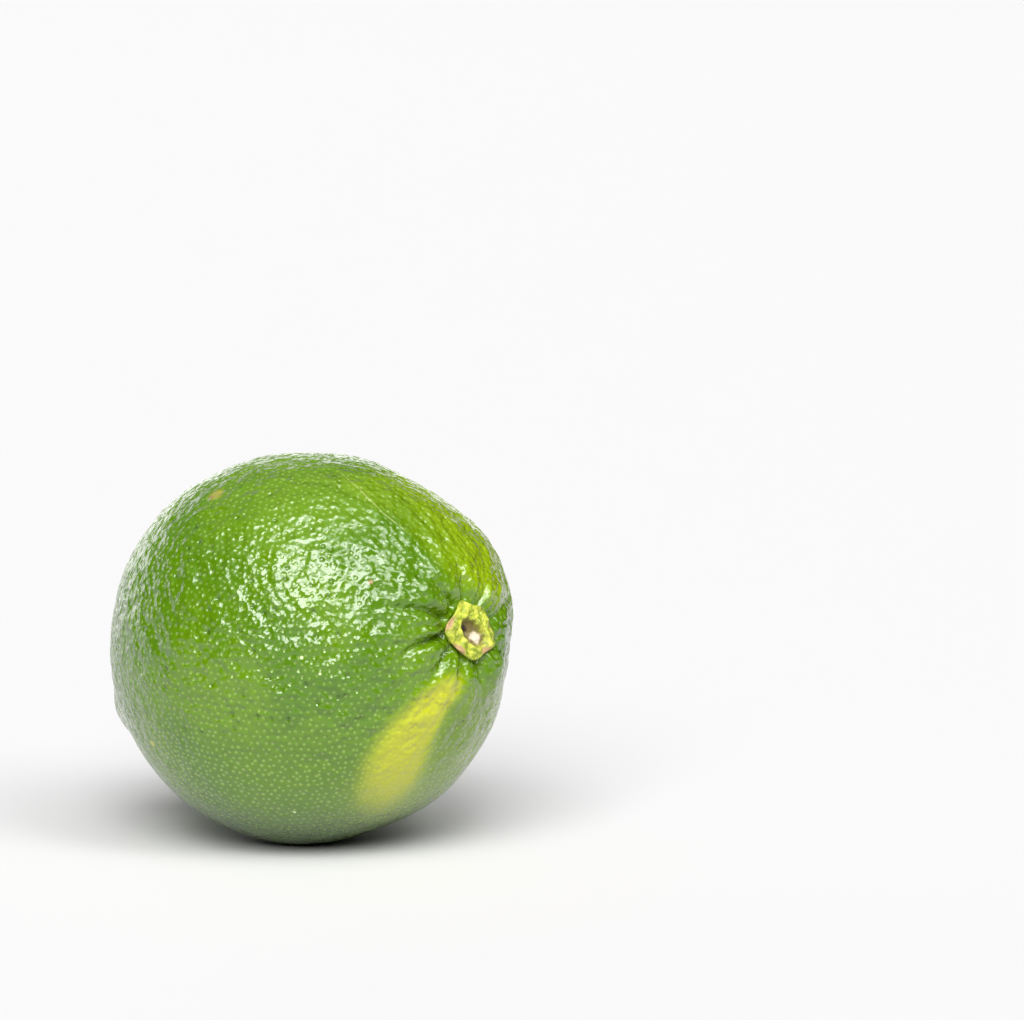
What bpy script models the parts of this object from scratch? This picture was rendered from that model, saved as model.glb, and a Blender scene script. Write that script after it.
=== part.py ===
"""A whole lime lying on its side on a small flat spot, with the stem button left on its stem end.

The frame is in metres with +Z up. The origin is the centre of the flat spot, and the long axis lies in the XZ
plane with the stem end towards +X and a little raised. The fruit is first shaped about its own centre with the
stem end along its own +Z, as a distance from that centre in each direction, and is then laid down.
"""

import math

import bmesh
import bpy
from mathutils import Matrix, Vector

# Fruit: overall sizes
FRUIT_LENGTH = 0.0590  # nipple tip to the crown of the stem end
FRUIT_DIAMETER = 0.052  # across the belly
BELLY_TO_CROWN = 0.0297  # widest section to the crown of the stem end
BODY_SQUARENESS = 2.0  # exponent of the profile: 2 is an ellipse, and more is fuller in the shoulders
THREE_SIDEDNESS = 0.00032  # how far the section bulges at three places round the axis
THREE_SIDE_ANGLE = math.radians(98.0)

# Fruit: both ends lean off the axis to the same side
LEAN_ANGLE = math.radians(-57.0)  # the side that they lean to, round the axis
STEM_LEAN = math.radians(12.6)
TIP_LEAN = math.radians(5.4)

# Nipple at the tip
NIPPLE_HEIGHT = 0.0040
NIPPLE_RADIUS = 0.0057
NIPPLE_SCAR_DEPTH = 0.0005
NIPPLE_SCAR_RADIUS = 0.0011

# Basin, collar and furrows at the stem end
BASIN_DEPTH = 0.0016
BASIN_RADIUS = 0.0042
COLLAR_HEIGHT = 0.0008
COLLAR_RADIUS = 0.0067
COLLAR_WIDTH = 0.0036
FURROWS = (  # degrees round the button, and share of the full depth
    (-150, 0.7),
    (-120, 1.0),
    (-87, 1.0),
    (-57, 0.8),
    (-22, 0.6),
    (14, 0.9),
    (58, 0.6),
    (101, 0.9),
    (139, 0.6),
    (175, 0.7),
)
FURROW_DEPTH = 0.0009
FURROW_HALF_WIDTH = 0.0009
FURROW_START = 0.0036  # distance from the middle of the button at which the furrows are deepest
FURROW_REACH = 0.0062  # how gently they fade out beyond it

# Uneven places of the body: distance from the button's middle, degrees round it, height and width
UNEVENNESS = (
    (0.0074, 36.0, 0.0008, 0.0028),  # the fold of peel beside the button
    (0.0180, 66.0, -0.0012, 0.0070),
    (0.0270, 150.0, -0.0008, 0.0080),
    (0.0305, 15.0, 0.0006, 0.0080),
)

# Flat spot that the fruit rests on
REST_SPOT_RADIUS = 0.0046
AXIS_TILT = math.radians(17.5)  # long axis above the surface

# Stem button
CALYX_DIAMETER = 0.0082
CALYX_THICKNESS = 0.0014
CALYX_RIM_THICKNESS = 0.0005
CALYX_LOBES = 5
CALYX_LOBE_DEPTH = 0.0008
CALYX_SCAR_LENGTH = 0.0040
CALYX_SCAR_WIDTH = 0.0021
CALYX_SCAR_DEPTH = 0.0007
CALYX_SCAR_ANGLE = math.radians(35.0)
CLEARANCE = 0.0003  # between the button and the fruit

# Mesh fineness
FRUIT_SEGMENTS = 60
FRUIT_RINGS = 36
RING_CROWDING = 0.2  # moves the rings towards both ends, where the detail is
SPOT_CUTS = 2  # extra points on each edge round the flat spot, so that its outline is round
SPOT_BAND = 0.0035  # how far past the flat spot they go
CALYX_SEGMENTS = 40
CALYX_RINGS = 14

STEM_HALF = BELLY_TO_CROWN
TIP_HALF = FRUIT_LENGTH - NIPPLE_HEIGHT - BELLY_TO_CROWN


def spherical(polar, angle):
    """The unit vector at a polar angle from +Z and an angle round it."""
    return Vector((math.sin(polar) * math.cos(angle), math.sin(polar) * math.sin(angle), math.cos(polar)))


STEM_DIRECTION = spherical(STEM_LEAN, LEAN_ANGLE)
TIP_DIRECTION = spherical(math.pi - TIP_LEAN, LEAN_ANGLE)
STEM_TURN = Vector((0.0, 0.0, 1.0)).rotation_difference(STEM_DIRECTION)
LAYING_DOWN = Matrix.Rotation(math.pi / 2 - AXIS_TILT, 4, "Y")
DOWN = LAYING_DOWN.inverted() @ Vector((0.0, 0.0, -1.0))  # in the fruit's own frame


def bump(distance, width):
    return math.exp(-((distance / width) ** 2))


def furrow(direction):
    """How deep the uneven radial furrows round the button are in this direction."""
    distance = STEM_HALF * direction.angle(STEM_DIRECTION)
    local = STEM_TURN.inverted() @ direction
    angle = math.atan2(local.y, local.x)
    crease = 0.0
    for middle, share in FURROWS:
        apart = math.remainder(angle - math.radians(middle), math.tau)
        crease += share * bump(distance * apart, FURROW_HALF_WIDTH)
    start = min(distance / FURROW_START, 1.0) ** 2
    return FURROW_DEPTH * crease * start * bump(max(distance - FURROW_START, 0.0), FURROW_REACH)


def unevenness(direction):
    """How far the body swells or sinks in a direction."""
    rise = 0.0
    for distance, angle, height, width in UNEVENNESS:
        middle = STEM_TURN @ spherical(distance / STEM_HALF, math.radians(angle))
        rise += height * bump(STEM_HALF * direction.angle(middle), width)
    return rise


def seat_radius(direction):
    """Distance from the fruit's centre to its skin in a direction, without the furrows."""
    half = STEM_HALF if direction.z > 0 else TIP_HALF
    across = math.hypot(direction.x, direction.y)
    power = BODY_SQUARENESS
    profile = (abs(direction.z) / half) ** power + (2 * across / FRUIT_DIAMETER) ** power
    radius = profile ** (-1 / power)
    angle = math.atan2(direction.y, direction.x)
    radius += THREE_SIDEDNESS * across**2 * math.cos(3 * (angle - THREE_SIDE_ANGLE))
    from_tip = TIP_HALF * direction.angle(TIP_DIRECTION)
    radius += NIPPLE_HEIGHT * bump(from_tip, NIPPLE_RADIUS)
    radius -= NIPPLE_SCAR_DEPTH * bump(from_tip, NIPPLE_SCAR_RADIUS)
    from_stem = STEM_HALF * direction.angle(STEM_DIRECTION)
    radius -= BASIN_DEPTH * bump(from_stem, BASIN_RADIUS)
    radius += COLLAR_HEIGHT * bump(from_stem - COLLAR_RADIUS, COLLAR_WIDTH)
    return radius + unevenness(direction)


def fruit_radius(direction):
    """Distance from the fruit's centre to its furrowed skin in a direction, before the flat spot is cut."""
    return seat_radius(direction) - furrow(direction)


def warped(point):
    """A direction on the unit ball, moved so that the rings crowd and centre on the two leaning ends."""
    polar = math.acos(max(-1.0, min(1.0, point.z)))
    polar -= RING_CROWDING * math.sin(2 * polar)
    angle = math.atan2(point.y, point.x)
    height = math.cos(polar)
    lean = STEM_LEAN if height > 0 else TIP_LEAN
    side = spherical(math.pi / 2, LEAN_ANGLE)
    return (spherical(polar, angle) + side * math.tan(lean) * height**2).normalized()


def refine_rest_spot(mesh):
    """Adds points to the ball of directions where the flat spot will be cut."""
    reach = 2 * (REST_SPOT_RADIUS + SPOT_BAND) / FRUIT_DIAMETER
    near = [face for face in mesh.faces if face.calc_center_median().angle(DOWN) < reach]
    edges = list({edge for face in near for edge in face.edges})
    bmesh.ops.subdivide_edges(mesh, edges=edges, cuts=SPOT_CUTS, use_grid_fill=True)


def fruit_mesh():
    mesh = bmesh.new()
    bmesh.ops.create_uvsphere(mesh, u_segments=FRUIT_SEGMENTS, v_segments=FRUIT_RINGS, radius=1.0)
    for vert in mesh.verts:
        vert.co = warped(vert.co)
    refine_rest_spot(mesh)
    for vert in mesh.verts:
        direction = vert.co.normalized()
        vert.co = direction * fruit_radius(direction)
    bmesh.ops.triangulate(mesh, faces=mesh.faces)
    bmesh.ops.transform(mesh, matrix=LAYING_DOWN, verts=mesh.verts)
    return mesh


def cut_rest_spot(mesh):
    """Cuts the flat spot at the lowest point and returns its centre."""
    depth = REST_SPOT_RADIUS**2 / FRUIT_DIAMETER
    height = min(vert.co.z for vert in mesh.verts) + depth
    bmesh.ops.bisect_plane(
        mesh,
        geom=mesh.verts[:] + mesh.edges[:] + mesh.faces[:],
        dist=1e-7,
        plane_co=(0.0, 0.0, height),
        plane_no=(0.0, 0.0, -1.0),
        clear_outer=True,
    )
    rim = [edge for edge in mesh.edges if edge.is_boundary]
    for edge in rim:
        edge.smooth = False
    spot = bmesh.ops.contextual_create(mesh, geom=rim)["faces"][0]
    centre = spot.calc_center_median_weighted()
    bmesh.ops.recalc_face_normals(mesh, faces=mesh.faces)
    return centre


def calyx_edge(angle):
    """Radius of the button's lobed outline at an angle."""
    lobes = 0.5 + 0.5 * math.cos(CALYX_LOBES * angle + 0.5 * math.sin(angle))
    return CALYX_DIAMETER / 2 - CALYX_LOBE_DEPTH * (1 - lobes)


def calyx_height(share, angle):
    """Thickness of the button above its seat, at a share of the way out to its edge."""
    out = share * calyx_edge(angle)
    along = out * math.cos(angle - CALYX_SCAR_ANGLE) / (CALYX_SCAR_LENGTH / 2)
    across = out * math.sin(angle - CALYX_SCAR_ANGLE) / (CALYX_SCAR_WIDTH / 2)
    scar = CALYX_SCAR_DEPTH * math.exp(-((along**2 + across**2) ** 2))
    dome = math.sqrt(max(0.0, 1 - share**4))
    return CALYX_RIM_THICKNESS + (CALYX_THICKNESS - CALYX_RIM_THICKNESS) * dome - scar


def calyx_mesh():
    """A lobed button whose underside follows the basin at the named clearance and bridges the furrows."""
    mesh = bmesh.new()
    bmesh.ops.create_uvsphere(mesh, u_segments=CALYX_SEGMENTS, v_segments=CALYX_RINGS, radius=1.0)
    for vert in mesh.verts:
        share = min(1.0, math.hypot(vert.co.x, vert.co.y))
        angle = math.atan2(vert.co.y, vert.co.x)
        turn = share * calyx_edge(angle) / STEM_HALF
        direction = STEM_TURN @ spherical(turn, angle)
        seat = seat_radius(direction) + CLEARANCE
        rim_round = math.sqrt(max(0.0, 1 - share**12))
        top = calyx_height(share, angle) * (0.5 + 0.5 * rim_round)
        lift = top if vert.co.z > 0 else 0.0
        vert.co = direction * (seat + lift)
    bmesh.ops.transform(mesh, matrix=LAYING_DOWN, verts=mesh.verts)
    return mesh


def material(name, colour, roughness):
    made = bpy.data.materials.new(name)
    made.use_nodes = True
    shader = made.node_tree.nodes["Principled BSDF"]
    shader.inputs["Base Color"].default_value = (*colour, 1.0)
    shader.inputs["Roughness"].default_value = roughness
    shader.inputs["Metallic"].default_value = 0.0
    return made


def finish(name, mesh, centre, finish_material):
    """Moves the shape so that the flat spot's centre is the origin, and makes it an object."""
    bmesh.ops.translate(mesh, vec=-centre, verts=mesh.verts)
    data = bpy.data.meshes.new(name)
    mesh.to_mesh(data)
    mesh.free()
    data.shade_smooth()
    data.materials.append(finish_material)
    made = bpy.data.objects.new(name, data)
    bpy.context.scene.collection.objects.link(made)
    return made


def main():
    for old in list(bpy.data.objects):
        bpy.data.objects.remove(old)
    fruit = fruit_mesh()
    centre = cut_rest_spot(fruit)
    peel = material("peel", (0.14, 0.30, 0.03), 0.35)
    button = material("calyx", (0.45, 0.50, 0.08), 0.7)
    finish("fruit", fruit, centre, peel)
    finish("calyx", calyx_mesh(), centre, button)


main()
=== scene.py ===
"""Looks for the lime: a pored, waxy peel and a lobed stem button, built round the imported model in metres."""

import math

import bmesh
import bpy
import numpy as np
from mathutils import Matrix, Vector, noise
from mathutils.bvhtree import BVHTree
from mathutils.kdtree import KDTree


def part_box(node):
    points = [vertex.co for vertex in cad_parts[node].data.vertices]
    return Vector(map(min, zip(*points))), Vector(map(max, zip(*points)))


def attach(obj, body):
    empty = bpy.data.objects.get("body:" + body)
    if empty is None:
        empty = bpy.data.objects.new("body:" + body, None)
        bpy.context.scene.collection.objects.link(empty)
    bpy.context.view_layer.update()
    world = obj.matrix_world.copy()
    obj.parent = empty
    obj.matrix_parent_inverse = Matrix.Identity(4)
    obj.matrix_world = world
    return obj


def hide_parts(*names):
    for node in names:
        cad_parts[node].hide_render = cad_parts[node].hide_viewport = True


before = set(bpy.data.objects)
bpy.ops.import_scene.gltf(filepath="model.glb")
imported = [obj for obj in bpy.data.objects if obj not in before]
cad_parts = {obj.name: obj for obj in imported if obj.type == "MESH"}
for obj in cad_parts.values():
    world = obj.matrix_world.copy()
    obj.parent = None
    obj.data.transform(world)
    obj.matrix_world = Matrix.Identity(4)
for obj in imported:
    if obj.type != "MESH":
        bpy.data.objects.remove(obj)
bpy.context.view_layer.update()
MM = 0.001

# The frame: the fruit's middle, and the stem end's own axes
FRUIT_LOW, FRUIT_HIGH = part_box("fruit")
CALYX_LOW, CALYX_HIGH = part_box("calyx")
MIDDLE = (FRUIT_LOW + FRUIT_HIGH) / 2
BUTTON = (CALYX_LOW + CALYX_HIGH) / 2
STEM_REACH = (BUTTON - MIDDLE).length
STEM_AXIS = (BUTTON - MIDDLE).normalized()
STEM_SIDE = STEM_AXIS.cross(Vector((0.0, 0.0, -1.0))).normalized()
STEM_DOWN = STEM_SIDE.cross(STEM_AXIS).normalized()

# Camera, as it stands for the photograph
CAMERA_AZIMUTH = math.radians(30.4)
CAMERA_ELEVATION = math.radians(9.0)
CAMERA_DISTANCE = 0.6
CAMERA_LENS = 158.4
AIM_RIGHT = 0.02657
AIM_UP = 0.01787

# Softboxes: degrees to the right of the camera and above the floor, width, height, edge softness and power
SOFTBOXES = (
    (-11, 40, 36, 36, 0.08, 9.5),
    (12, 57, 60, 40, 0.20, 0.9),
    (21, 58, 32, 38, 0.18, 3.0),
    (46, 42, 20, 27, 0.08, 5.5),
)

# Lit wall behind the fruit and ceiling: each power changes over a range of the direction's height
WALL_RIGHT = -155  # degrees to the right of the camera
WALL_FACING = (0.62, 0.90)
WALL_HEIGHTS, WALL_POWERS = (0.05, 0.45), (2.0, 0.30)
CEILING_HEIGHTS, CEILING_POWERS = (0.62, 0.85), (0.03, 0.28)
BACKDROP_SEEN = 0.96  # as bright as the far edge of the floor

FLOOR_RADIUS = 12.0
FLOOR_COLOUR = (0.640, 0.632, 0.638)
FLOOR_ROUGHNESS, FLOOR_SPECULAR = 0.9, 0.1

# Oil glands, one at each point of an even ball of directions
GLAND_LEVELS = 6
GLAND_SPACING = 1.07  # of neighbours, as a share of the root of the area that each has
GLAND_JITTER, GLAND_JITTER_LIMIT = 0.15, 0.4  # shares of their spacing
GLAND_PIT_DEPTH = 0.055  # mm, of a usual one
GLAND_PIT_RADIUS = 0.28  # mm
WEAKEST_GLAND = 0.35
DEEP_PITS = 0.04  # share of the glands that have sunk deeper
DEEP_STRENGTH = 1.9
WIDTH_BASE, WIDTH_GAIN = 0.8, 0.3  # a pit's width grows with its strength
RANDOM_START = 7

# Relief of the peel between its glands: height and spacing in mm, and the shift of its noise
LUMPS = (0.22, 15.0, 3.1)
WAVES = (0.09, 3.6, 17.7)
DENTS = (0.07, 2.4, 29.9)
DENT_EDGE = (0.15, 0.5)
WRINKLES = (0.28, 3.0, 41.3)
WRINKLE_RING = 15.0  # distance from the button at which wrinkles have their own spacing
WRINKLE_STRETCH = 0.3  # how much finer they are across than along
WRINKLE_RISE, WRINKLE_FADE = (3.5, 6.0), (12.0, 30.0)
RUFFLE_HEIGHT, RUFFLE_COUNT, RUFFLE_DISTANCE, RUFFLE_WIDTH = 0.14, 27, 5.2, 1.2
RUFFLE_UNEVEN, RUFFLE_UNEVEN_COUNT = 2, 3
UNDER_BUTTON = (3.4, 4.6)  # the relief starts between these distances from the button
NEAR_SPOT = (0.3, 2.5)  # and between these heights above the floor
SPOT_EDGE = 0.2  # no pits below this height, in mm

# Where the peel is rough: above these heights and within these distances of the button, in mm
ROUGH_HEIGHTS, ROUGH_DISTANCES = (7.0, 24.0), (8.0, 14.0)
LEAST_ROUGH = 0.3

# Sharp bottoms of the furrows round the button: degrees round it, depth in mm and reach in mm
FURROWS = (
    (-150, 0.75, 12.0),
    (-133, 0.30, 8.5),
    (-120, 1.15, 15.0),
    (-103, 0.45, 11.0),
    (-87, 1.15, 14.5),
    (-71, 0.25, 8.0),
    (-57, 0.70, 11.5),
    (-22, 0.35, 8.0),
    (14, 0.50, 9.5),
    (58, 0.35, 8.0),
    (101, 0.45, 9.5),
    (139, 0.35, 9.0),
    (158, 0.20, 7.5),
    (175, 0.40, 10.0),
)
FURROW_HALF_WIDTH = 0.50
FURROW_TURN, FURROW_STRAIGHT = 1.2, 6.0  # degrees that they bend for each mm past this distance
FURROW_FADE = 0.45  # share of its reach at which a furrow starts to fade

# Yellow patch: its two edges in degrees round the button, at distances from the button in mm
PATCH_DISTANCES = (5, 7, 11, 16, 22, 29, 36)
PATCH_LEFT = (-44, -50, -53, -52, -46, -37, -31)
PATCH_RIGHT = (-12, -16, -22, -20, -13, -8, -6)
PATCH_LEFT_BLUR, PATCH_RIGHT_BLUR = (-9, 20), (-9, 11)
PATCH_RISE, PATCH_FADE = (3.0, 10), (19, 38)

# Yellower zones: where each rises and fades round the button in degrees, and away from it in mm
ABOVE_TURN_RISE, ABOVE_TURN_DIP, ABOVE_TURN_FADE = (85, 135), (150, 190), (194, 206)
ABOVE_DIP = 0.55
ABOVE_RISE, ABOVE_FADE = (3, 8), (24, 38)
BESIDE_TURN_RISE, BESIDE_TURN_FADE = (-30, -5), (40, 85)
BESIDE_RISE, BESIDE_FADE = (5, 9), (26, 42)
HIDDEN_TURN, HIDDEN_TURN_WIDTH = 112.0, 26.0
HIDDEN_DISTANCE, HIDDEN_WIDTH = 50.0, 14.0
BESIDE_SHARE, HIDDEN_SHARE = 0.5, 0.8

# Fine scratch, a thin raised line painted paler as a glint along it: its course in degrees round the button at
# distances from it, its half width and its ends, in mm
SCRATCH_DISTANCES, SCRATCH_DEGREES = (20.0, 31.0), (-160.0, -169.0)
SCRATCH_EDGE, SCRATCH_RISE, SCRATCH_FADE = (0.06, 0.19), (14, 17), (25, 31)
SCRATCH_BREAKS = 0.0016  # metres between the gaps in it

# Marks on the peel: place in mm, radius in mm, colour and strength
TAN, BROWN, PALE, OLIVE = (0.34, 0.30, 0.05), (0.30, 0.13, 0.04), (0.72, 0.85, 0.45), (0.50, 0.48, 0.05)
MARKS = (
    ((-5.3, -13.1, 47.5), 1.5, TAN, 0.75),
    ((-5.9, -13.4, 47.2), 0.45, BROWN, 0.6),
    ((19.2, -15.3, 37.8), 0.45, BROWN, 0.75),
    ((-11.1, -19.9, 15.0), 0.7, OLIVE, 0.8),
    ((12.9, -22.1, 28.5), 0.32, PALE, 0.9),
    ((15.0, -21.1, 26.4), 0.28, PALE, 0.9),
    ((7.8, -15.5, 6.8), 0.30, PALE, 0.9),
    ((4.0, 24.0, 36.0), 1.1, TAN, 0.7),
    ((-13.0, 17.0, 38.0), 0.5, BROWN, 0.6),
    ((-16.0, 14.0, 14.0), 0.8, OLIVE, 0.7),
    ((10.0, 20.0, 12.0), 0.5, BROWN, 0.6),
)
MARK_CORE = 0.35  # share of its radius within which a mark has its full strength

# Colours of the peel
GREEN_DEEP, GREEN_BRIGHT = (0.078, 0.184, 0.001), (0.116, 0.236, 0.001)
YELLOW_GREEN, RIPE_YELLOW = (0.235, 0.355, 0.001), (0.510, 0.525, 0.006)
# The dots' lift and pale colour are partly the glands' own lighter colour and partly painted glints
DOT_LIFT_AND_GLINT, DOT_PALE, DOT_PALE_SHARE = (1.45, 1.35, 2.0), (0.46, 0.55, 0.21), 0.30
# The second tint here is painted shade, darkening the deep pits of the glands
# The third tint here is painted shade, darkening the peel towards the bottom, near the floor
BETWEEN_DOTS, DEEP_PIT_PAINTED_SHADE, UNDERSIDE_PAINTED_SHADE = (0.88, 0.91, 0.8), (0.50, 0.56, 0.5), (0.45, 0.50, 0.4)
PAINTED_UNDERSIDE_HEIGHTS = (1.0, 10.0)  # mm: painted shade, full below the first height and gone above the second
# The scratch colour is a painted glint along the fine raised line
SCRATCH_GLINT_COLOUR, SCRATCH_GLINT_SHARE = (0.42, 0.50, 0.16), 0.55
TIP_COLOUR, TIP_SHARE = (0.16, 0.10, 0.03), 0.9
TIP_RADII = (0.8, 1.7)  # mm
TIP_DEPTH = 0.4  # mm, how far below the furthest point the tip is still counted

# Noise in the peel's material, in metres between its hills, and in mm of height
WIDE_SPACING, MOTTLE_SPACING, GLOSS_SPACING = 0.022, 0.0032, 0.004
BROAD_SPACING, BROAD_HEIGHT = 0.0034, 0.45
MIDDLING_SPACING, MIDDLING_HEIGHT = 0.0014, 0.30
FINE_SPACING, FINE_HEIGHT = 0.0006, 0.030
PIT_RADII, PIT_HEIGHT = (0.04, 0.36), -0.075
DOT_RADII = (0.08, 0.29)
SCRATCH_HEIGHT = 0.03
PEEL_ROUGHNESS = (0.18, 0.30)
COAT_WEIGHT, COAT_ROUGHNESS = 0.6, 0.08

# Stem button, in mm: its lobes are (degrees round it, extra reach, half width in degrees)
BUTTON_RADIUS = 3.4
BUTTON_LOBES = ((-168, 0.7, 17), (127, 0.5, 20), (62, 1.2, 21), (0, 0.5, 20), (-95, 1.05, 25))
BUTTON_RIM, BUTTON_DOME, DOME_POWER = 0.30, 1.0, 2.4
BUTTON_THINNEST = 0.12
BUTTON_CLEARANCE = 0.08
BUTTON_SPOKES, BUTTON_RINGS = 120, 34
UNDER_SHARES = (0.99, 0.9, 0.7, 0.4, 0.1)  # rings of its underside, as shares of the way out
LOBE_RIDGE, LOBE_RIDGE_WIDTH, LOBE_RIDGE_END = 0.30, 0.6, 1.15
BUTTON_BUMPS = ((0.32, 2.0, 5.2), (0.16, 0.9, 9.4))  # height, spacing and shift of each noise

# Scar in the button: an oval hollow, with a lip round it and a pad and a hole in it
HOLLOW_MIDDLE = (0.45, 0.5)  # towards STEM_SIDE and STEM_DOWN
HOLLOW_ANGLE = math.radians(40.0)
HOLLOW_HALF_LENGTH, HOLLOW_HALF_WIDTH, HOLLOW_DEPTH = 2.35, 1.35, 0.9
LIP_HEIGHT, LIP_PLACE, LIP_WIDTH = 0.20, 1.25, 0.28
PAD_HEIGHT, PAD_PLACE, PAD_SIZE = 0.30, (0.38, -0.05), (0.42, 0.62)
HOLE_DEPTH, HOLE_PLACE, HOLE_SIZE = 0.35, (-0.55, 0.0), (0.36, 0.55)

# Dried edges of the button: degrees round it, half width in degrees and strength
DRIED = ((-112.0, 18.0, 1.0), (-48.0, 20.0, 1.0), (35.0, 16.0, 1.0), (95.0, 16.0, 0.6))
DRIED_BAND = (0.68, 0.96)  # shares of the way out to its edge

# Colours of the button
BUTTON_DARK, BUTTON_LIGHT, BUTTON_GRAIN = (0.20, 0.265, 0.006), (0.53, 0.58, 0.055), (0.78, 0.74, 0.34)
# The second colour here is painted shade, a dark broken line standing for cracks round the scar's hollow
DRIED_COLOUR, BRINK_PAINTED_SHADE, HOLLOW_COLOUR = (0.42, 0.27, 0.12), (0.15, 0.15, 0.012), (0.20, 0.155, 0.045)
# The first colour here is painted shade, near-black in the hole of the scar
HOLE_PAINTED_SHADE, PAD_COLOUR = (0.030, 0.018, 0.006), (0.60, 0.53, 0.40)
BUTTON_MOTTLE_SPACING, BUTTON_GRAIN_SPACING, BUTTON_GRAIN_HEIGHT = 0.0014, 0.0005, 0.14
BUTTON_ROUGHNESS = (0.42, 0.62)


# ---- geometry helpers

def new_object(name):
    made = bpy.data.objects.new(name, bpy.data.meshes.new(name))
    bpy.context.scene.collection.objects.link(made)
    return made


def unit(vectors):
    return vectors / np.linalg.norm(vectors, axis=-1, keepdims=True)


def smoothstep(low, high, value):
    share = np.clip((value - low) / (high - low), 0, 1)
    return share * share * (3 - 2 * share)


def between(value, rise, fade):
    """1 between two ranges of a value, rising over the first and fading over the second."""
    return smoothstep(*rise, value) * (1 - smoothstep(*fade, value))


def bump(distance, width):
    return np.exp(-((distance / width) ** 2))


def degrees_apart(angle, middle):
    return (angle - middle + 180.0) % 360.0 - 180.0


def ripple(places, spacing, shift):
    """Smooth noise from -1 to 1 at places in mm, with hills about a spacing apart."""
    scaled = places * (2.0 / spacing) + shift
    return np.array([noise.noise(Vector(place)) for place in scaled])


def add_attribute(mesh, name, kind, domain, values):
    attribute = mesh.attributes.new(name, kind, domain)
    field = "vector" if kind == "FLOAT_VECTOR" else "value"
    attribute.data.foreach_set(field, values.astype(np.float32).ravel())


def smooth_skin():
    """A ray-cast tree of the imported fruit, with its facets rounded off."""
    shell = bmesh.new()
    shell.from_mesh(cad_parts["fruit"].data)
    bmesh.ops.remove_doubles(shell, verts=shell.verts, dist=1e-6)
    flat, skewed = math.radians(40), math.radians(60)
    bmesh.ops.join_triangles(
        shell, faces=shell.faces, angle_face_threshold=flat, angle_shape_threshold=skewed)
    holder = new_object("skin_helper")
    shell.to_mesh(holder.data)
    shell.free()
    rounding = holder.modifiers.new("rounding", "SUBSURF")
    rounding.levels = 2
    rounding.render_levels = 2
    tree = BVHTree.FromObject(holder, bpy.context.evaluated_depsgraph_get())
    bpy.data.objects.remove(holder)
    return tree


def stem_polar(places):
    """Arc distance in mm from the button's middle, and degrees round it: 0 is down, -90 is towards -Y."""
    out = unit(places - np.array(MIDDLE))
    along = np.clip(out @ np.array(STEM_AXIS), -1, 1)
    angle = np.arctan2(out @ np.array(STEM_SIDE), out @ np.array(STEM_DOWN))
    return STEM_REACH * np.arccos(along) / MM, np.degrees(angle)


def stem_direction(distance, angle):
    """The direction from the fruit's middle to a place near the button: the inverse of stem_polar."""
    turn = distance * MM / STEM_REACH
    around = math.radians(angle)
    outward = STEM_DOWN * math.cos(around) + STEM_SIDE * math.sin(around)
    return STEM_AXIS * math.cos(turn) + outward * math.sin(turn)


def nipple_tip():
    """The middle of the fruit's tip, which is the part of it furthest from its middle on the side of -X."""
    points = np.array([vert.co[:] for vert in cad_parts["fruit"].data.vertices])
    reach = np.linalg.norm(points - np.array(MIDDLE), axis=1) * (points[:, 0] < 0)
    return points[reach > reach.max() - TIP_DEPTH * MM].mean(axis=0)


# ---- peel

def ball():
    """Points and triangles of the even ball of directions that carries one gland on each point."""
    mesh = bmesh.new()
    bmesh.ops.create_icosphere(mesh, subdivisions=GLAND_LEVELS, radius=1.0)
    points = np.array([vert.co[:] for vert in mesh.verts])
    faces = np.array([[vert.index for vert in face.verts] for face in mesh.faces])
    mesh.free()
    return points, faces


def in_thirds(points, faces):
    """Every triangle cut into nine: the new points and triangles."""
    sides = np.concatenate([faces[:, [0, 1]], faces[:, [1, 2]], faces[:, [2, 0]]])
    ends, place = np.unique(np.sort(sides, axis=1), axis=0, return_inverse=True)
    place = place.reshape(-1)
    first, second = points[ends[:, 0]], points[ends[:, 1]]
    near, far = (2 * first + second) / 3, (first + 2 * second) / 3
    count, edges, cells = len(points), len(ends), len(faces)
    forward = sides[:, 0] == ends[place, 0]
    one = count + place + np.where(forward, 0, edges)
    two = count + place + np.where(forward, edges, 0)
    (ab1, bc1, ca1), (ab2, bc2, ca2) = one.reshape(3, cells), two.reshape(3, cells)
    a, b, c = faces.T
    mid = count + 2 * edges + np.arange(cells)
    small = [
        (a, ab1, ca2), (ab1, ab2, mid), (ab2, b, bc1),
        (mid, ab2, bc1), (bc1, bc2, mid), (bc2, c, ca1),
        (mid, bc2, ca1), (mid, ca1, ca2), (ab1, mid, ca2),
    ]
    triangles = np.stack([np.stack(corners, axis=1) for corners in small], axis=1).reshape(-1, 3)
    return np.concatenate([points, near, far, points[faces].mean(axis=1)]), triangles


def gland_sites(random):
    """Slightly uneven directions of the glands, and the triangles between them."""
    sites, cells = ball()
    spacing = math.sqrt(4 * math.pi / len(sites)) * GLAND_SPACING
    jitter = random.normal(size=sites.shape) * GLAND_JITTER
    jitter = np.clip(jitter, -GLAND_JITTER_LIMIT, GLAND_JITTER_LIMIT) * spacing
    return unit(sites + jitter), cells


def gland_strengths(random, count):
    """How strong each gland's pit is: many weak ones, and a few deep ones."""
    strength = WEAKEST_GLAND + random.uniform(size=count) ** 2.0
    strength[random.uniform(size=count) < DEEP_PITS] = DEEP_STRENGTH
    return strength


def nearest(sites, places):
    finder = KDTree(len(sites))
    for index, site in enumerate(sites):
        finder.insert(site, index)
    finder.balance()
    return np.array([finder.find(place)[1] for place in places])


def furrow_depth(distance, degrees):
    depth = np.zeros(len(distance))
    for middle, deepest, reach in FURROWS:
        bent = middle + FURROW_TURN * (distance - FURROW_STRAIGHT)
        across = np.radians(degrees_apart(degrees, bent)) * distance
        fading = 1 - smoothstep(FURROW_FADE * reach, reach, distance)
        depth += deepest * bump(across, FURROW_HALF_WIDTH) * fading
    return depth


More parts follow.
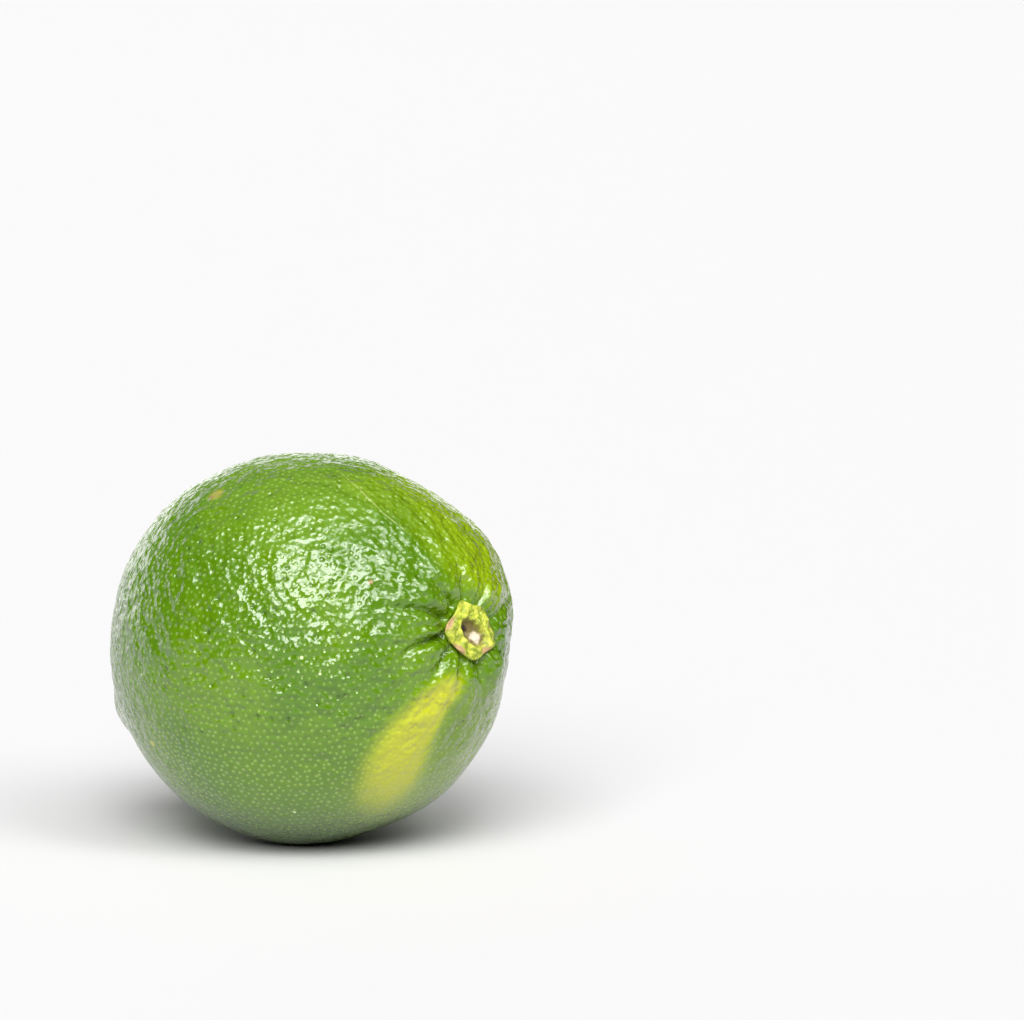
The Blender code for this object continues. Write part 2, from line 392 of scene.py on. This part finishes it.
def wrinkle_height(distance, degrees):
    """Radial wrinkles round the button, and a fine ruffle close round its edge."""
    angle = np.radians(degrees)
    ring = np.stack([np.cos(angle), np.sin(angle)], axis=1) * WRINKLE_RING
    stretched = np.column_stack([ring, distance * WRINKLE_STRETCH])
    height, spacing, shift = WRINKLES
    wrinkles = height * between(distance, WRINKLE_RISE, WRINKLE_FADE) * ripple(stretched, spacing, shift)
    folds = np.cos(RUFFLE_COUNT * angle + RUFFLE_UNEVEN * np.sin(RUFFLE_UNEVEN_COUNT * angle))
    return wrinkles + RUFFLE_HEIGHT * folds * bump(distance - RUFFLE_DISTANCE, RUFFLE_WIDTH)


def peel_relief(places, distance, degrees):
    """Height of the peel's relief in mm, none of it under the button or on the flat spot."""
    mm = places / MM
    relief = LUMPS[0] * ripple(mm, *LUMPS[1:]) + WAVES[0] * ripple(mm, *WAVES[1:])
    relief -= DENTS[0] * smoothstep(*DENT_EDGE, ripple(mm, *DENTS[1:]))
    relief += wrinkle_height(distance, degrees) - furrow_depth(distance, degrees)
    return relief * smoothstep(*UNDER_BUTTON, distance) * smoothstep(*NEAR_SPOT, mm[:, 2])


def roughness_mask(places, distance):
    """1 where the peel is rough, over the top and round the button, and less below, where it is smooth."""
    mask = np.maximum(smoothstep(*ROUGH_HEIGHTS, places[:, 2] / MM), 1 - smoothstep(*ROUGH_DISTANCES, distance))
    return LEAST_ROUGH + (1 - LEAST_ROUGH) * mask


def patch_mask(distance, degrees):
    from_left = degrees - np.interp(distance, PATCH_DISTANCES, PATCH_LEFT)
    from_right = degrees - np.interp(distance, PATCH_DISTANCES, PATCH_RIGHT)
    inside = smoothstep(*PATCH_LEFT_BLUR, from_left) * (1 - smoothstep(*PATCH_RIGHT_BLUR, from_right))
    return inside * between(distance, PATCH_RISE, PATCH_FADE)


def blush_mask(distance, degrees):
    """The yellower zones: one above the button, one right of the patch and one on the hidden side."""
    turned = degrees % 360.0
    above = between(turned, ABOVE_TURN_RISE, ABOVE_TURN_FADE) * between(distance, ABOVE_RISE, ABOVE_FADE)
    above *= 1 - ABOVE_DIP * smoothstep(*ABOVE_TURN_DIP, turned)
    beside = between(degrees, BESIDE_TURN_RISE, BESIDE_TURN_FADE) * between(distance, BESIDE_RISE, BESIDE_FADE)
    hidden = bump(degrees_apart(degrees, HIDDEN_TURN), HIDDEN_TURN_WIDTH)
    hidden *= bump(distance - HIDDEN_DISTANCE, HIDDEN_WIDTH)
    return np.maximum(above, np.maximum(BESIDE_SHARE * beside, HIDDEN_SHARE * hidden))


def scratch_place(distance, degrees):
    """Distance in mm across a fine scratch beside the yellow zone, and distance from the button along it."""
    line = np.interp(distance, SCRATCH_DISTANCES, SCRATCH_DEGREES)
    ring = STEM_REACH / MM * np.sin(distance * MM / STEM_REACH)
    across = np.radians(degrees_apart(degrees, line)) * ring
    return np.column_stack([across, distance, np.zeros(len(distance))])


def pit_depth(places, glands, strength, rough):
    """How deep the pit of the nearest gland is at each place, in mm."""
    mine = nearest(glands, places)
    gap = np.linalg.norm(places - glands[mine], axis=1) / MM
    width = GLAND_PIT_RADIUS * (WIDTH_BASE + WIDTH_GAIN * strength[mine])
    return GLAND_PIT_DEPTH * strength[mine] * rough * bump(gap, width) * (places[:, 2] > SPOT_EDGE * MM)


def build_peel(skin):
    random = np.random.default_rng(RANDOM_START)
    sites, cells = gland_sites(random)
    directions, triangles = in_thirds(sites, cells)
    directions = unit(directions)
    radius = np.array([skin.ray_cast(MIDDLE, Vector(way))[3] for way in directions])
    places = np.array(MIDDLE) + directions * radius[:, None]
    distance, degrees = stem_polar(places)
    rough = roughness_mask(places, distance)
    places += directions * (peel_relief(places, distance, degrees) * rough * MM)[:, None]
    glands = places[: len(sites)].copy()
    strength = gland_strengths(random, len(sites))
    places -= directions * (pit_depth(places, glands, strength, rough) * MM)[:, None]
    owner = nearest(glands, places[triangles].mean(axis=1))
    peel = new_object("lime_peel")
    peel.data.from_pydata(places.tolist(), [], triangles.tolist())
    peel.data.shade_smooth()
    offsets = (places[triangles] - glands[owner][:, None, :]) / MM
    add_attribute(peel.data, "gland", "FLOAT_VECTOR", "CORNER", offsets)
    add_attribute(peel.data, "gland_strength", "FLOAT", "CORNER", np.repeat(strength[owner], 3))
    add_attribute(peel.data, "patch", "FLOAT", "POINT", patch_mask(distance, degrees))
    add_attribute(peel.data, "blush", "FLOAT", "POINT", blush_mask(distance, degrees))
    add_attribute(peel.data, "scratch", "FLOAT_VECTOR", "POINT", scratch_place(distance, degrees))
    add_attribute(peel.data, "rough", "FLOAT", "POINT", rough)
    return peel


# ---- stem button

def button_edge(degrees):
    """Reach of the button's outline in mm at each angle round it."""
    reach = np.full(len(degrees), BUTTON_RADIUS)
    for middle, extra, width in BUTTON_LOBES:
        reach += extra * bump(degrees_apart(degrees, middle), width)
    return reach


def seat_radius(skin, distance, degrees):
    """Distance from the fruit's middle to a seat round the button that clears the ridges under it."""
    angle = np.radians(degrees)
    waves = [angle * 0 + 1, np.cos(angle), np.sin(angle), np.cos(2 * angle), np.sin(2 * angle)]
    waves = np.stack(waves, axis=1)
    ways = [stem_direction(out, turn) for out, turn in zip(distance, degrees)]
    under = np.array([skin.ray_cast(MIDDLE, way)[3] for way in ways])
    fitted = waves @ np.linalg.lstsq(waves, under, rcond=None)[0]
    return fitted + np.clip(under - fitted, 0, None).max() + BUTTON_CLEARANCE * MM


def hollow_place(distance, degrees):
    """Place in the scar's own oval, which reaches 1 at its edge: along it, and across it."""
    right = distance * np.sin(np.radians(degrees)) - HOLLOW_MIDDLE[0]
    down = distance * np.cos(np.radians(degrees)) - HOLLOW_MIDDLE[1]
    along = right * math.cos(HOLLOW_ANGLE) + down * math.sin(HOLLOW_ANGLE)
    across = down * math.cos(HOLLOW_ANGLE) - right * math.sin(HOLLOW_ANGLE)
    return along / HOLLOW_HALF_LENGTH, across / HOLLOW_HALF_WIDTH


def oval_mask(place, middle, size):
    return bump(np.hypot((place[0] - middle[0]) / size[0], (place[1] - middle[1]) / size[1]), 1.0)


def dug_mask(place):
    """1 in the scar, and 0 outside it."""
    return np.exp(-(np.hypot(*place) ** 6))


def dried_mask(share, degrees):
    """Where the button's edge has dried to tan."""
    dried = sum(strength * bump(degrees_apart(degrees, middle), width) for middle, width, strength in DRIED)
    return np.clip(dried, 0, 1) * smoothstep(*DRIED_BAND, share)


def button_height(share, distance, degrees):
    """Height in mm of the button's top above its seat, at a share of the way out to its edge."""
    place = hollow_place(distance, degrees)
    height = BUTTON_RIM + BUTTON_DOME * (1 - share**DOME_POWER)
    for middle, extra, width in BUTTON_LOBES:
        ridge = LOBE_RIDGE * extra * bump(degrees_apart(degrees, middle), LOBE_RIDGE_WIDTH * width)
        height += ridge * share * (LOBE_RIDGE_END - share)
    height -= HOLLOW_DEPTH * dug_mask(place) + HOLE_DEPTH * oval_mask(place, HOLE_PLACE, HOLE_SIZE)
    height += LIP_HEIGHT * bump(np.hypot(*place) - LIP_PLACE, LIP_WIDTH)
    height += PAD_HEIGHT * oval_mask(place, PAD_PLACE, PAD_SIZE)
    angle = np.radians(degrees)
    flat = np.column_stack([distance * np.cos(angle), distance * np.sin(angle), 0 * angle])
    height += sum(rise * ripple(flat, spacing, shift) for rise, spacing, shift in BUTTON_BUMPS)
    return np.maximum(height, BUTTON_THINNEST)


def button_rows(skin):
    """Rings of points, out over the button's top and back under it, and what each point is part of."""
    degrees = np.arange(BUTTON_SPOKES) * 360.0 / BUTTON_SPOKES
    top = [(ring / BUTTON_RINGS, True) for ring in range(1, BUTTON_RINGS + 1)]
    places, parts = [], []
    for share, lifted in top + [(share, False) for share in UNDER_SHARES]:
        distance = share * button_edge(degrees)
        seat = seat_radius(skin, distance, degrees)
        height = button_height(share, distance, degrees) if lifted else 0 * distance
        ways = np.array([stem_direction(out, way) for out, way in zip(distance, degrees)])
        places.append(np.array(MIDDLE) + ways * (seat + height * MM)[:, None])
        place = hollow_place(distance, degrees)
        pad, hole = oval_mask(place, PAD_PLACE, PAD_SIZE), oval_mask(place, HOLE_PLACE, HOLE_SIZE)
        parts.append(np.stack([pad, dug_mask(place) + hole, dried_mask(share, degrees)], axis=1))
    return np.concatenate(places), np.concatenate(parts)


def button_faces(count):
    """Faces between the rings, and one that closes the first ring and the last."""
    faces = []
    for near in range(0, count - BUTTON_SPOKES, BUTTON_SPOKES):
        far = near + BUTTON_SPOKES
        for spoke in range(BUTTON_SPOKES):
            after = (spoke + 1) % BUTTON_SPOKES
            faces.append((near + spoke, far + spoke, far + after, near + after))
    faces.append(tuple(reversed(range(BUTTON_SPOKES))))
    faces.append(tuple(range(count - BUTTON_SPOKES, count)))
    return faces


def build_button(skin):
    places, parts = button_rows(skin)
    button = new_object("stem_button")
    button.data.from_pydata(places.tolist(), [], button_faces(len(places)))
    shape = bmesh.new()
    shape.from_mesh(button.data)
    bmesh.ops.recalc_face_normals(shape, faces=shape.faces)
    shape.to_mesh(button.data)
    shape.free()
    button.data.shade_smooth()
    add_attribute(button.data, "parts", "FLOAT_VECTOR", "POINT", parts)
    return button


# ---- materials

class Nodes:
    """Short calls for building a node tree."""

    def __init__(self, tree):
        self.tree = tree

    def add(self, kind, **settings):
        node = self.tree.nodes.new(kind)
        for name, value in settings.items():
            setattr(node, name, value)
        return node

    def join(self, source, target):
        self.tree.links.new(source, target)

    def feed(self, socket, value):
        if isinstance(value, bpy.types.NodeSocket):
            self.join(value, socket)
        elif isinstance(value, (tuple, list)) and len(value) == 3 and socket.type == "RGBA":
            socket.default_value = (*value, 1.0)
        else:
            socket.default_value = value

    def math(self, operation, first, second=0.0, third=0.0):
        node = self.add("ShaderNodeMath", operation=operation)
        for socket, value in zip(node.inputs, (first, second, third)):
            self.feed(socket, value)
        return node.outputs[0]

    def times(self, first, second):
        return self.math("MULTIPLY", first, second)

    def sum(self, *values):
        total = values[0]
        for value in values[1:]:
            total = self.math("ADD", total, value)
        return total

    def vector(self, operation, first, second=(0.0, 0.0, 0.0)):
        node = self.add("ShaderNodeVectorMath", operation=operation)
        self.feed(node.inputs[0], first)
        self.feed(node.inputs[1], second)
        return node.outputs["Value" if operation in ("DOT_PRODUCT", "LENGTH", "DISTANCE") else "Vector"]

    def ramp(self, value, low, high, to_low=0.0, to_high=1.0):
        node = self.add("ShaderNodeMapRange", interpolation_type="SMOOTHSTEP")
        for socket, item in zip(node.inputs, (value, low, high, to_low, to_high)):
            self.feed(socket, item)
        return node.outputs["Result"]

    def mix(self, share, first, second, blend="MIX"):
        node = self.add("ShaderNodeMix", data_type="RGBA", blend_type=blend)
        self.feed(node.inputs["Factor"], share)
        colours = [socket for socket in node.inputs if socket.type == "RGBA"]
        self.feed(colours[0], first)
        self.feed(colours[1], second)
        return next(socket for socket in node.outputs if socket.type == "RGBA")

    def tint(self, colour, factors):
        return self.mix(1.0, colour, factors, "MULTIPLY")

    def noise(self, place, spacing, detail=2.0):
        """Noise round 0, from about -0.5 to 0.5, with hills about a spacing in metres apart."""
        node = self.add("ShaderNodeTexNoise")
        self.join(place, node.inputs["Vector"])
        node.inputs["Scale"].default_value = 1.5 / spacing
        node.inputs["Detail"].default_value = detail
        return self.math("SUBTRACT", node.outputs["Fac"], 0.5)

    def attribute(self, name):
        return self.add("ShaderNodeAttribute", attribute_name=name)

    def split(self, vector):
        node = self.add("ShaderNodeSeparateXYZ")
        self.join(vector, node.inputs[0])
        return node.outputs

    def relief(self, shader, height, *names):
        """Joins a height in mm to the shader's normals."""
        node = self.add("ShaderNodeBump")
        node.inputs["Strength"].default_value = 1.0
        node.inputs["Distance"].default_value = MM
        self.join(height, node.inputs["Height"])
        for name in names:
            self.join(node.outputs["Normal"], shader.inputs[name])


def new_material(name):
    made = bpy.data.materials.new(name)
    made.use_nodes = True
    shader = made.node_tree.nodes["Principled BSDF"]
    return made, Nodes(made.node_tree), shader


def add_marks(n, place, colour, skin):
    for middle, radius, tint, strength in MARKS:
        way = Vector(middle) * MM - MIDDLE
        seated = skin.ray_cast(MIDDLE, way.normalized())[0]
        away = n.vector("DISTANCE", place, tuple(seated))
        share = n.ramp(away, MARK_CORE * radius * MM, radius * MM, strength, 0.0)
        colour = n.mix(share, colour, tint)
    return colour


def scratch_mask(n, place):
    across, along, _ = n.split(n.attribute("scratch").outputs["Vector"])
    line = n.ramp(n.math("ABSOLUTE", across), *SCRATCH_EDGE, 1.0, 0.0)
    line = n.times(line, n.ramp(n.noise(place, SCRATCH_BREAKS), -0.12, 0.0))
    return n.times(line, n.times(n.ramp(along, *SCRATCH_RISE), n.ramp(along, *SCRATCH_FADE, 1.0, 0.0)))


def ground_colour(n, place, patch, blush):
    """The peel's greens and yellows, without the glands."""
    wide, mottle = n.noise(place, WIDE_SPACING), n.noise(place, MOTTLE_SPACING)
    colour = n.mix(n.ramp(wide, -0.15, 0.15), GREEN_DEEP, GREEN_BRIGHT)
    yellowing = n.sum(blush, n.times(wide, 0.5), n.times(patch, 1.2))
    colour = n.mix(n.ramp(yellowing, 0.05, 1.0), colour, YELLOW_GREEN)
    ripe = n.sum(patch, n.times(mottle, 0.25))
    return n.mix(n.ramp(ripe, 0.18, 0.88), colour, RIPE_YELLOW)


def peel_colour(n, place, gland, strength, scratch, skin):
    patch, blush, rough = (n.attribute(name).outputs["Fac"] for name in ("patch", "blush", "rough"))
    colour = ground_colour(n, place, patch, blush)
    # Dot colour: partly the glands' own lighter colour, partly painted glints
    dot_and_glint = n.mix(DOT_PALE_SHARE, n.tint(colour, DOT_LIFT_AND_GLINT), DOT_PALE)
    # Painted shade: the deep pits are darkened on the rough part of the peel
    deep = n.times(n.ramp(strength, 1.4, DEEP_STRENGTH), n.ramp(rough, 0.5, 0.9))
    faint = n.sum(n.times(patch, 0.8), n.times(blush, 0.4), n.times(rough, 0.62))
    dots = n.times(n.ramp(gland, *DOT_RADII, 1.0, 0.0), n.ramp(faint, 0.1, 1.1, 1.0, 0.15))
    dot_colour = n.mix(deep, dot_and_glint, n.tint(colour, DEEP_PIT_PAINTED_SHADE))
    colour = n.mix(dots, n.tint(colour, BETWEEN_DOTS), dot_colour)
    # Painted glint: the colour is paled along the fine scratch
    colour = n.mix(n.times(scratch, SCRATCH_GLINT_SHARE), colour, SCRATCH_GLINT_COLOUR)
    # Painted shade: the peel is darker towards the bottom, near the floor
    low = n.ramp(n.split(place)[2], PAINTED_UNDERSIDE_HEIGHTS[0] * MM, PAINTED_UNDERSIDE_HEIGHTS[1] * MM)
    colour = n.mix(low, n.tint(colour, UNDERSIDE_PAINTED_SHADE), colour)
    return add_marks(n, place, colour, skin)


def peel_height(n, place, gland, strength, scratch):
    """Height in mm of the relief that is finer than the mesh."""
    pit = n.times(n.ramp(gland, *PIT_RADII, PIT_HEIGHT, 0.0), strength)
    broad = n.times(n.noise(place, BROAD_SPACING, 0.0), BROAD_HEIGHT)
    middling = n.times(n.noise(place, MIDDLING_SPACING, 0.0), MIDDLING_HEIGHT)
    fine = n.times(n.noise(place, FINE_SPACING, 0.0), FINE_HEIGHT)
    height = n.sum(pit, broad, middling, fine, n.times(scratch, SCRATCH_HEIGHT))
    return n.times(height, n.attribute("rough").outputs["Fac"])


def peel_material(skin, tip):
    made, n, shader = new_material("peel")
    place = n.add("ShaderNodeTexCoord").outputs["Object"]
    strength = n.attribute("gland_strength").outputs["Fac"]
    gland = n.vector("LENGTH", n.attribute("gland").outputs["Vector"])
    gland = n.math("DIVIDE", gland, n.math("MULTIPLY_ADD", strength, WIDTH_GAIN, WIDTH_BASE))
    scratch = scratch_mask(n, place)
    colour = peel_colour(n, place, gland, strength, scratch, skin)
    from_tip = n.vector("DISTANCE", place, tuple(tip))
    tip_share = n.ramp(from_tip, TIP_RADII[0] * MM, TIP_RADII[1] * MM, TIP_SHARE, 0.0)
    n.feed(shader.inputs["Base Color"], n.mix(tip_share, colour, TIP_COLOUR))
    n.feed(shader.inputs["Roughness"], n.ramp(n.noise(place, GLOSS_SPACING), -0.15, 0.15, *PEEL_ROUGHNESS))
    shader.inputs["Coat Weight"].default_value = COAT_WEIGHT
    shader.inputs["Coat Roughness"].default_value = COAT_ROUGHNESS
    n.relief(shader, peel_height(n, place, gland, strength, scratch), "Normal", "Coat Normal")
    return made


def calyx_material():
    made, n, shader = new_material("calyx")
    place = n.add("ShaderNodeTexCoord").outputs["Object"]
    pad, dug, dried = n.split(n.attribute("parts").outputs["Vector"])
    mottle, grain = n.noise(place, BUTTON_MOTTLE_SPACING, 3.0), n.noise(place, BUTTON_GRAIN_SPACING)
    colour = n.mix(n.ramp(mottle, -0.16, 0.16), BUTTON_DARK, BUTTON_LIGHT)
    colour = n.mix(n.ramp(grain, 0.05, 0.25, 0.0, 0.5), colour, BUTTON_GRAIN)
    colour = n.mix(n.ramp(n.sum(dried, n.times(mottle, 0.8)), 0.25, 0.75), colour, DRIED_COLOUR)
    # Painted shade: a dark broken line round the edge of the scar's hollow, standing for cracks
    brink_shade = n.times(n.ramp(dug, 0.02, 0.16), n.ramp(mottle, -0.12, 0.10, 0.9, 0.15))
    colour = n.mix(brink_shade, colour, BRINK_PAINTED_SHADE)
    colour = n.mix(n.ramp(dug, 0.30, 0.85), colour, HOLLOW_COLOUR)
    # Painted shade: the hole in the scar is near-black
    colour = n.mix(n.ramp(dug, 1.2, 1.75), colour, HOLE_PAINTED_SHADE)
    colour = n.mix(n.ramp(n.sum(pad, n.times(mottle, 0.7)), 0.35, 0.70), colour, PAD_COLOUR)
    n.feed(shader.inputs["Base Color"], colour)
    n.feed(shader.inputs["Roughness"], n.ramp(grain, -0.2, 0.2, *BUTTON_ROUGHNESS))
    n.relief(shader, n.times(grain, BUTTON_GRAIN_HEIGHT), "Normal")
    return made


# ---- camera, light and floor

def studio_direction(right, up):
    """A direction in the studio, in degrees to the right of the camera and above the floor."""
    turn, lift = CAMERA_AZIMUTH + math.radians(right), math.radians(up)
    return Vector((math.sin(turn) * math.cos(lift), -math.cos(turn) * math.cos(lift), math.sin(lift)))


def add_camera():
    to_camera = studio_direction(0.0, math.degrees(CAMERA_ELEVATION))
    right = Vector((math.cos(CAMERA_AZIMUTH), math.sin(CAMERA_AZIMUTH), 0.0))
    up = to_camera.cross(right)
    data = bpy.data.cameras.new("camera")
    data.lens = CAMERA_LENS
    data.clip_start = 0.01
    camera = bpy.data.objects.new("camera", data)
    camera.location = MIDDLE + to_camera * CAMERA_DISTANCE
    aim = MIDDLE + right * AIM_RIGHT + up * AIM_UP
    camera.rotation_euler = (camera.location - aim).to_track_quat("Z", "Y").to_euler()
    bpy.context.scene.collection.objects.link(camera)
    bpy.context.scene.camera = camera


def softbox(n, direction, right, up, width, tall, softness):
    """1 inside a soft-edged lit rectangle of the studio and 0 outside it, with its sizes in degrees."""
    middle = studio_direction(right, up)
    across = Vector((0.0, 0.0, 1.0)).cross(middle).normalized()
    above = middle.cross(across).normalized()
    facing = n.vector("DOT_PRODUCT", direction, tuple(middle))
    share = n.ramp(facing, 0.0, 0.1)
    for axis, size in ((across, width), (above, tall)):
        slope = n.vector("DOT_PRODUCT", direction, tuple(axis))
        slope = n.math("DIVIDE", slope, n.math("MAXIMUM", facing, 0.05))
        edge = math.tan(math.radians(size / 2))
        inside = n.ramp(n.math("ABSOLUTE", slope), edge - softness, edge + softness, 1.0, 0.0)
        share = n.times(share, inside)
    return share


def add_world():
    """A dim studio with softboxes above the camera, a ceiling, and a lit wall behind the fruit."""
    world = bpy.data.worlds.new("studio")
    bpy.context.scene.world = world
    world.use_nodes = True
    n = Nodes(world.node_tree)
    backdrop = world.node_tree.nodes["Background"]
    direction = n.add("ShaderNodeTexCoord").outputs["Generated"]
    height = n.split(direction)[2]
    facing_wall = n.vector("DOT_PRODUCT", direction, tuple(studio_direction(WALL_RIGHT, 0)))
    wall = n.times(n.ramp(facing_wall, *WALL_FACING), n.ramp(height, *WALL_HEIGHTS, *WALL_POWERS))
    light = n.sum(wall, n.ramp(height, *CEILING_HEIGHTS, *CEILING_POWERS))
    for right, up, width, tall, softness, power in SOFTBOXES:
        box = softbox(n, direction, right, up, width, tall, softness)
        light = n.math("MULTIPLY_ADD", box, power, light)
    seen = n.add("ShaderNodeLightPath").outputs["Is Camera Ray"]
    lit = n.times(light, n.math("SUBTRACT", 1.0, seen))
    n.join(n.math("MULTIPLY_ADD", seen, BACKDROP_SEEN, lit), backdrop.inputs["Strength"])
    backdrop.inputs["Color"].default_value = (1.0, 1.0, 1.0, 1.0)


def add_floor():
    floor = new_object("floor")
    shape = bmesh.new()
    bmesh.ops.create_circle(shape, cap_ends=True, radius=FLOOR_RADIUS, segments=64)
    shape.to_mesh(floor.data)
    shape.free()
    made, _, shader = new_material("floor")
    shader.inputs["Base Color"].default_value = (*FLOOR_COLOUR, 1.0)
    shader.inputs["Roughness"].default_value = FLOOR_ROUGHNESS
    shader.inputs["Specular IOR Level"].default_value = FLOOR_SPECULAR
    floor.data.materials.append(made)


def main():
    bpy.context.scene.view_settings.view_transform = "Standard"
    skin = smooth_skin()
    peel, button = build_peel(skin), build_button(skin)
    peel.data.materials.append(peel_material(skin, nipple_tip()))
    button.data.materials.append(calyx_material())
    for piece, node, slot in ((peel, "fruit", "peel"), (button, "calyx", "calyx")):
        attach(piece, "root")
        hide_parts(node)
    add_floor()
    add_world()
    add_camera()


main()
